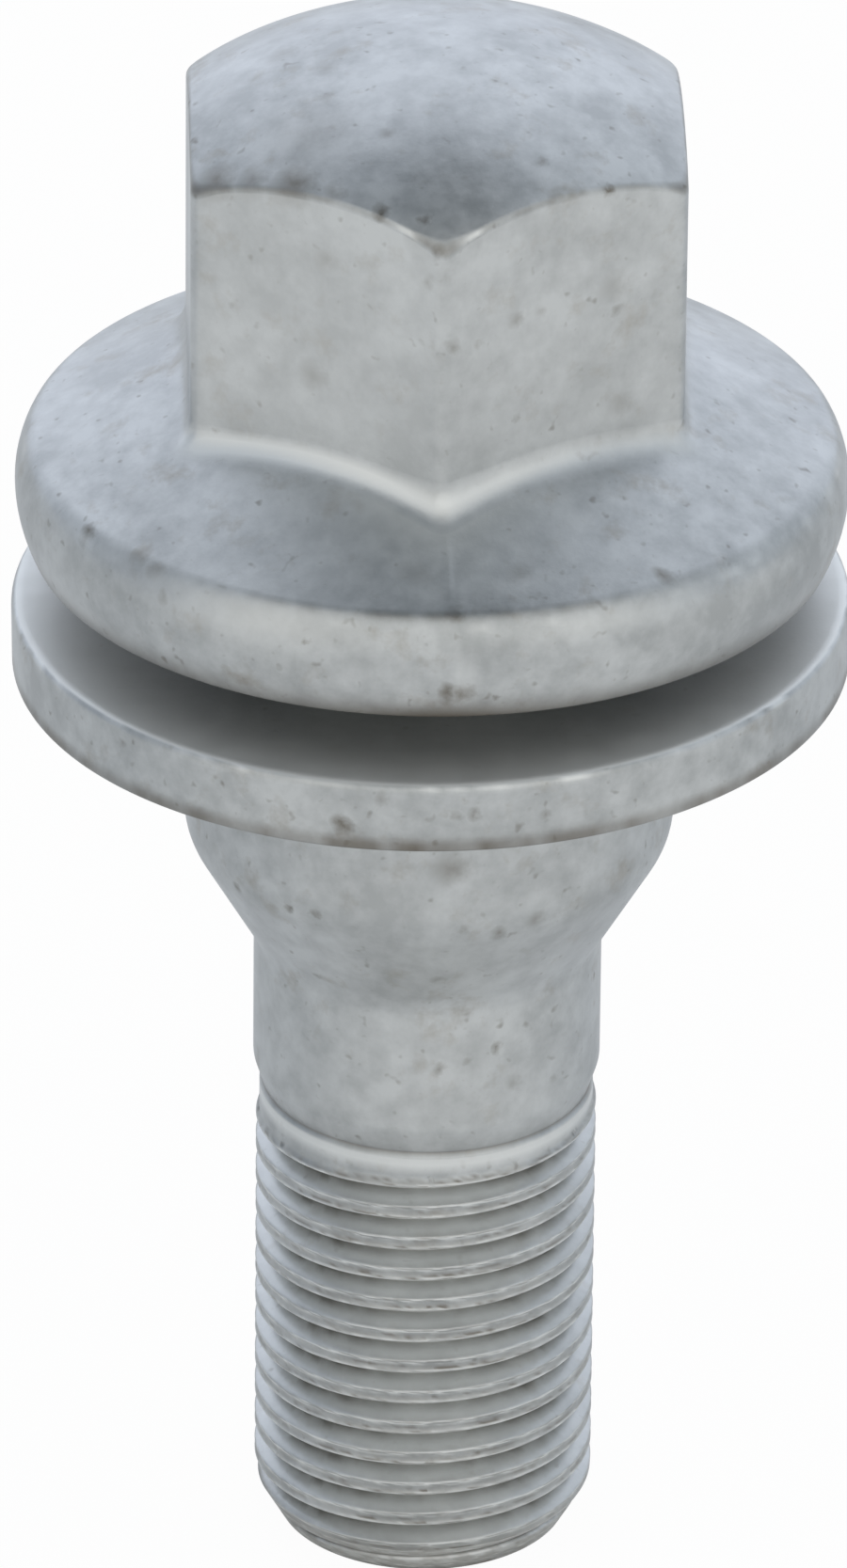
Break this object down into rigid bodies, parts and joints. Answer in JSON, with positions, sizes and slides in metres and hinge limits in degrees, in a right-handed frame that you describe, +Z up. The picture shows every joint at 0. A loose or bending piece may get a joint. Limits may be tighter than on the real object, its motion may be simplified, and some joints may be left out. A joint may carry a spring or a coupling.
{
  "type": "wheel bolt",
  "caption": "Wheel bolt with a domed hexagon head, round flange, loose captive washer, seat cone, plain shank and fine thread, finished in grey zinc.",
  "frame": {"origin": "centre of the thread's end face, on which the bolt stands", "axes": "+Z up the bolt's axis to the head, one corner of the hexagon towards -Y"},
  "size_m": [0.0292, 0.0292, 0.0577],
  "materials": {
    "bolt_zinc": "forged steel with a matt silver-grey zinc flake coating, lightly mottled and marked",
    "washer_zinc": "stamped steel with a matt silver-grey zinc flake coating"
  },
  "bodies": {
    "bolt": {"bolt": "bolt_zinc"},
    "washer": {"captive_washer": "washer_zinc"}
  },
  "joints": [
    {"name": "washer_play", "type": "slide", "parent": "bolt", "child": "washer", "axis": [0, 0, 1], "range_m": [0, 0.00215]}
  ]
}
